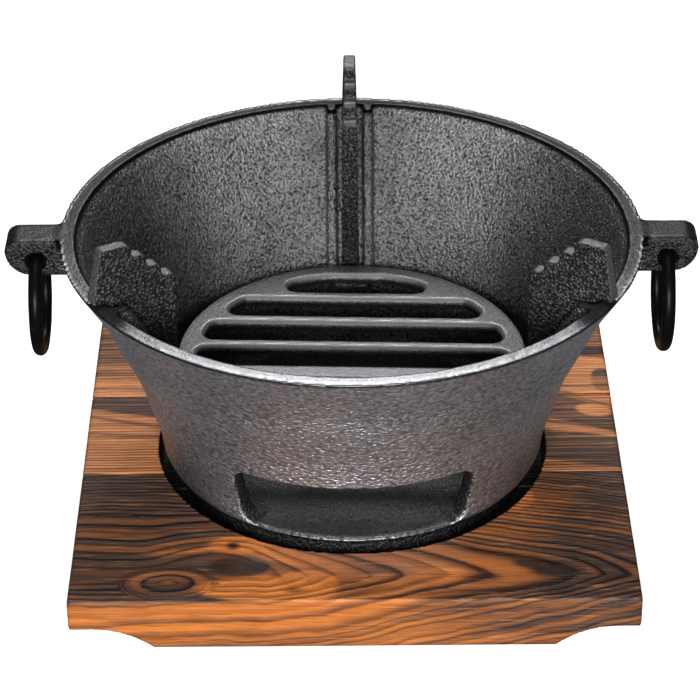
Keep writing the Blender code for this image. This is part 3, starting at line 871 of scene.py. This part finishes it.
def make_ring(place, material):
    """A round wire ring as large as the CAD's, and a little uneven."""
    node = "ring_handle_" + place
    low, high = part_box(node)
    centre = (low + high) / 2
    wire = (high.x - low.x) / 2
    reach = (high.z - low.z) / 2 - wire
    bpy.ops.mesh.primitive_torus_add(
        location=centre,
        rotation=(0, pi / 2, 0),
        major_segments=RING_SEGMENTS[0],
        minor_segments=RING_SEGMENTS[1],
        major_radius=reach,
        minor_radius=wire,
    )
    ring = bpy.context.object
    ring.name = node + "_wire"
    ring.data.transform(ring.matrix_world)
    ring.matrix_world = Matrix.Identity(4)
    spots = points_of(ring)
    put_points(ring, spots + normals_of(ring) * (noise_at(spots, 140, 6.0) * CAST_WAVE)[:, None])
    ring.data.shade_smooth()
    take_over(ring, node, "ring_" + place, material)


# ---------------------------------------------------- floor, lights, camera


def make_stage():
    """A pale floor that neither lights the grill nor shows in its iron."""
    floor_mesh = bmesh.new()
    bmesh.ops.create_grid(floor_mesh, x_segments=1, y_segments=1, size=FLOOR_HALF)
    mesh = bpy.data.meshes.new("floor")
    floor_mesh.to_mesh(mesh)
    floor_mesh.free()
    floor = bpy.data.objects.new("floor", mesh)
    floor.location.z = CAD_LOW.z - FLOOR_DROP
    bpy.context.collection.objects.link(floor)
    paint = bpy.data.materials.new("floor_paint")
    paint.use_nodes = True
    shader = paint.node_tree.nodes["Principled BSDF"]
    shader.inputs["Base Color"].default_value = (0.90, 0.90, 0.90, 1)
    shader.inputs["Roughness"].default_value = 0.9
    shader.inputs["Emission Color"].default_value = (1, 1, 1, 1)
    shader.inputs["Emission Strength"].default_value = 0.62
    mesh.materials.append(paint)
    floor.visible_diffuse = False
    floor.visible_glossy = False


def add_area(name, place, target, size, watts):
    """A rectangular soft light that points at the target."""
    data = bpy.data.lights.new(name, "AREA")
    data.shape = "RECTANGLE"
    data.size, data.size_y = size
    data.energy = watts
    light = bpy.data.objects.new(name, data)
    light.location = place
    light.visible_camera = False
    light.rotation_euler = (Vector(target) - Vector(place)).to_track_quat("-Z", "Y").to_euler()
    bpy.context.collection.objects.link(light)


def make_world():
    """White behind the object, and a dim even fill on it."""
    world = bpy.data.worlds.new("studio")
    world.use_nodes = True
    tree = world.node_tree
    fill = tree.nodes["Background"]
    fill.inputs["Strength"].default_value = FILL
    fill.inputs["Color"].default_value = (1, 1, 1, 1)
    white = tree.nodes.new("ShaderNodeBackground")
    white.inputs["Color"].default_value = (1, 1, 1, 1)
    ray = tree.nodes.new("ShaderNodeLightPath")
    both = tree.nodes.new("ShaderNodeMixShader")
    tree.links.new(ray.outputs["Is Camera Ray"], both.inputs["Fac"])
    tree.links.new(fill.outputs["Background"], both.inputs[1])
    tree.links.new(white.outputs["Background"], both.inputs[2])
    tree.links.new(both.outputs["Shader"], tree.nodes["World Output"].inputs["Surface"])
    bpy.context.scene.world = world


def make_lights():
    make_world()
    add_area("back_top", (0.0, 0.80, 0.97), (0, 0, 0.1), (0.40, 0.30), 6.6)
    add_area("front", (-0.03, -1.0, 0.42), (0, 0, 0.07), (0.42, 0.40), 14.4)
    add_area("top", (0.0, 0.0, 1.6), (0, 0, 0.0), (0.9, 0.9), 3.4)


def make_camera():
    """The camera in front of the grill, above it, and turned a little about the grill's axis."""
    data = bpy.data.cameras.new("camera")
    data.lens = CAMERA_LENS
    data.sensor_width = 36.0
    data.clip_start = 0.05
    data.clip_end = 50
    camera = bpy.data.objects.new("camera", data)
    turn = Matrix.Rotation(CAMERA_ORBIT, 4, "Z")
    aim = Matrix.Rotation(pi / 2 - CAMERA_PITCH, 4, "X") @ Matrix.Rotation(CAMERA_ROLL, 4, "Z")
    camera.matrix_world = turn @ Matrix.Translation(CAMERA_PLACE) @ aim
    bpy.context.collection.objects.link(camera)
    bpy.context.scene.camera = camera


def main():
    make_camera()
    make_stage()
    make_lights()
    wood = wood_material()
    for place in ("front", "middle", "rear"):
        make_plank(place, wood)
    make_bowl()
    coarse = sand_iron(
        "cast_iron_support",
        dark=(0.020, 0.020, 0.022),
        light=(0.20, 0.20, 0.21),
        worn_and_lit_colour=(0.140, 0.140, 0.146),
        grain=850,
        depth=0.00080,
        roughness=0.50,
    )
    for place in ("rear", "left", "right"):
        node = "pot_support_" + place
        make_casting(node, "support_" + place, SUPPORT_VOXEL, 5, SUPPORT_GRAIN, coarse)
    plate = sand_iron(
        "cast_iron_grate",
        dark=(0.090, 0.090, 0.096),
        light=(0.26, 0.26, 0.27),
        worn_and_lit_colour=(0.36, 0.36, 0.375),
        grain=1100,
        depth=0.00022,
        roughness=0.42,
    )
    make_casting("charcoal_grate", "grate", GRATE_VOXEL, 3, GRATE_GRAIN, plate)
    steel = ring_material()
    for place in ("left", "right"):
        make_ring(place, steel)
    bpy.context.scene.view_settings.view_transform = "Standard"


main()
